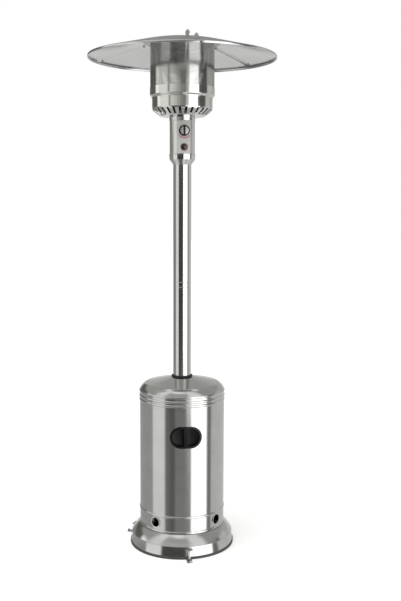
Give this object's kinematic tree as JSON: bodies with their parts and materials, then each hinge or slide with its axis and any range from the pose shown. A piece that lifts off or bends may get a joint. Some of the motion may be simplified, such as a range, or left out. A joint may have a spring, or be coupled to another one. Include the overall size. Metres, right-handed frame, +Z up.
{
  "type": "patio heater",
  "caption": "Free-standing mushroom patio heater with a gas burner head on a joined pole, a round reflector in panels and a lift-up housing for the gas bottle",
  "frame": {"origin": "on the floor at the middle of the round base", "axes": "+Z up along the pole, front with the knob and the handle towards -Y, +X to the right seen from the front"},
  "size_m": [0.804, 0.804, 2.21],
  "materials": {
    "stainless": "bright stainless sheet with a fine brushed grain",
    "polished": "mirror-polished stainless",
    "black_plastic": "matte black moulded plastic",
    "black_rubber": "black rubber",
    "plate_grey": "matte light grey printed metal plate",
    "red_button": "glossy dark red plastic",
    "zinc": "zinc-plated steel",
    "dark_steel": "dark heat-proof coating",
    "brass": "machined brass",
    "ceramic_white": "white glazed ceramic",
    "aluminium": "bright rolled aluminium sheet"
  },
  "bodies": {
    "stand": {"base_pan": "stainless", "base_edge_trim": "black_rubber", "anchor_brackets": "zinc", "anchor_wing_screws": "zinc", "support_leg_rear": "zinc", "support_leg_left": "zinc", "support_leg_right": "zinc", "leg_foot_bolts": "zinc", "leg_top_bolts": "zinc", "pole_socket": "zinc", "socket_clamp_screw": "zinc", "lower_pole": "stainless", "upper_pole": "stainless", "pole_coupler": "zinc", "pole_screws": "zinc", "neck_cone": "polished", "neck_screws": "zinc", "control_housing": "stainless", "control_plate": "plate_grey", "plate_studs": "zinc", "gas_valve": "brass", "valve_bracket": "zinc", "gas_inlet_fitting": "brass", "igniter_body": "black_plastic", "igniter_bezel": "black_plastic", "tilt_switch": "black_plastic", "burner_bowl": "stainless", "bowl_screws": "zinc", "burner_plate": "dark_steel", "mixing_tube": "zinc", "gas_orifice": "brass", "burner_cup": "dark_steel", "pilot_burner": "brass", "thermocouple": "brass", "igniter_electrode": "ceramic_white", "collar_band": "stainless", "emitter_screen": "stainless", "head_top_plate": "zinc", "reflector_studs": "zinc", "stud_spacers": "zinc", "stud_nuts": "zinc", "reflector_panel_rear": "aluminium", "reflector_panel_left": "aluminium", "reflector_panel_right": "aluminium", "seam_screws": "zinc", "seam_wing_nuts": "zinc"},
    "housing": {"housing_shell": "stainless", "housing_top": "stainless", "pole_grommet": "black_rubber", "handle_cup": "black_plastic", "vent_rims": "polished", "housing_rivets": "zinc"},
    "plug": {"valve_plug": "brass"},
    "knob": {"valve_stem": "zinc", "control_knob": "black_plastic", "knob_inlays": "polished"},
    "button": {"igniter_button": "red_button"}
  },
  "joints": [
    {"name": "housing_lift", "type": "slide", "parent": "stand", "child": "housing", "axis": [0, 0, 1], "range_m": [0, 0.5]},
    {"name": "knob_turn", "type": "hinge", "parent": "stand", "child": "plug", "pos_m": [0, -0.03, 1.816], "axis": [0, -1, 0], "range_deg": [0, 200]},
    {"name": "knob_push", "type": "slide", "parent": "plug", "child": "knob", "axis": [0, 1, 0], "range_m": [0, 0.004], "stiffness_N_per_m": 1500},
    {"name": "igniter_push", "type": "slide", "parent": "stand", "child": "button", "axis": [0, 1, 0], "range_m": [0, 0.005], "stiffness_N_per_m": 1200}
  ]
}
